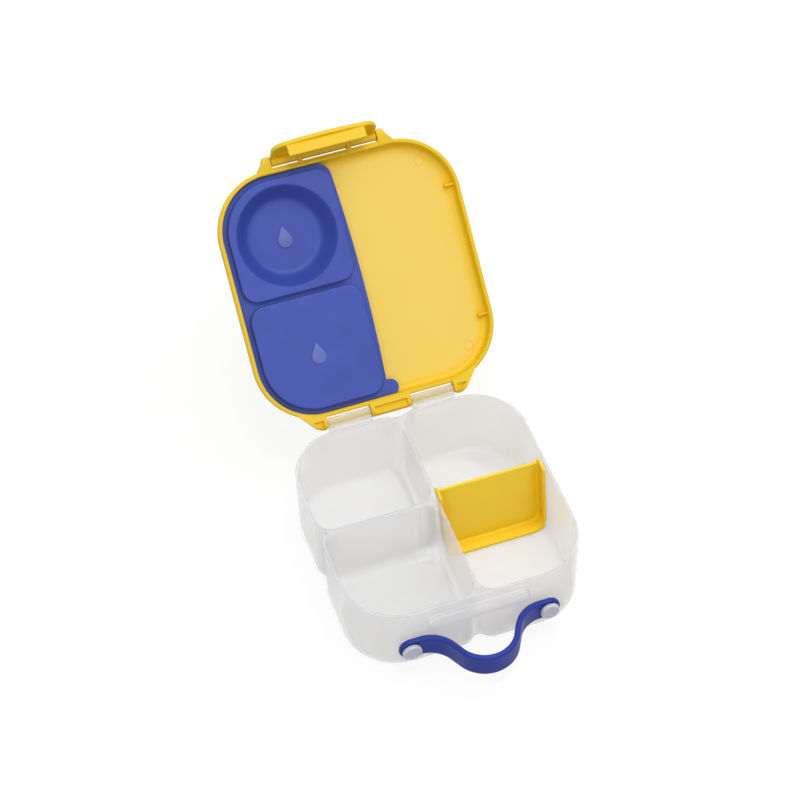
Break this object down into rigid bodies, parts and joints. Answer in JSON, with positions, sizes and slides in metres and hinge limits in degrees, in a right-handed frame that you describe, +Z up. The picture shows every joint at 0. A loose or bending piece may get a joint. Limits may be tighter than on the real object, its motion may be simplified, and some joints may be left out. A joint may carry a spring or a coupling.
{
  "type": "lunch box",
  "caption": "Square lunch box with a compartment tray, hinged latching lid, silicone lid seal, lift-out divider and a soft carry strap.",
  "frame": {"origin": "middle of the box that encloses the open lunch box, on the surface that it stands on", "axes": "+X to the right seen from the latch side, +Y towards the hinge and the open lid, +Z up"},
  "size_m": [0.1678, 0.3346, 0.1969],
  "materials": {
    "frosted_plastic": "frosted translucent moulded plastic",
    "yellow_plastic": "satin moulded plastic",
    "blue_silicone": "soft matt silicone"
  },
  "bodies": {
    "tray": {"tray": "frosted_plastic", "handle_stud_left": "frosted_plastic", "handle_stud_right": "frosted_plastic"},
    "lid": {"lid": "yellow_plastic", "hinge_pin_left": "yellow_plastic", "hinge_pin_right": "yellow_plastic", "latch_pin": "yellow_plastic"},
    "latch": {"latch": "yellow_plastic"},
    "seal": {"seal": "blue_silicone"},
    "divider": {"divider": "yellow_plastic"},
    "handle": {"handle_strap": "blue_silicone"}
  },
  "joints": [
    {"name": "lid_hinge", "type": "hinge", "parent": "tray", "child": "lid", "pos_m": [0, 0.03425, 0.0534], "axis": [-1, 0, 0], "range_deg": [-136.4, 0]},
    {"name": "latch_hinge", "type": "hinge", "parent": "lid", "child": "latch", "pos_m": [0, 0.16326, 0.17474], "axis": [-1, 0, 0], "range_deg": [-21, 80]},
    {"name": "seal_pull", "type": "slide", "parent": "lid", "child": "seal", "axis": [0, -0.6896, 0.7242], "range_m": [0, 0.03]},
    {"name": "divider_lift", "type": "slide", "parent": "tray", "child": "divider", "axis": [0, 0, 1], "range_m": [0, 0.07]},
    {"name": "strap_swing", "type": "hinge", "parent": "tray", "child": "handle", "pos_m": [0, -0.13626, 0.0235], "axis": [-1, 0, 0], "range_deg": [-30, 60], "stiffness_Nm_per_rad": 0.05, "deforming": ["handle_strap"]}
  ]
}
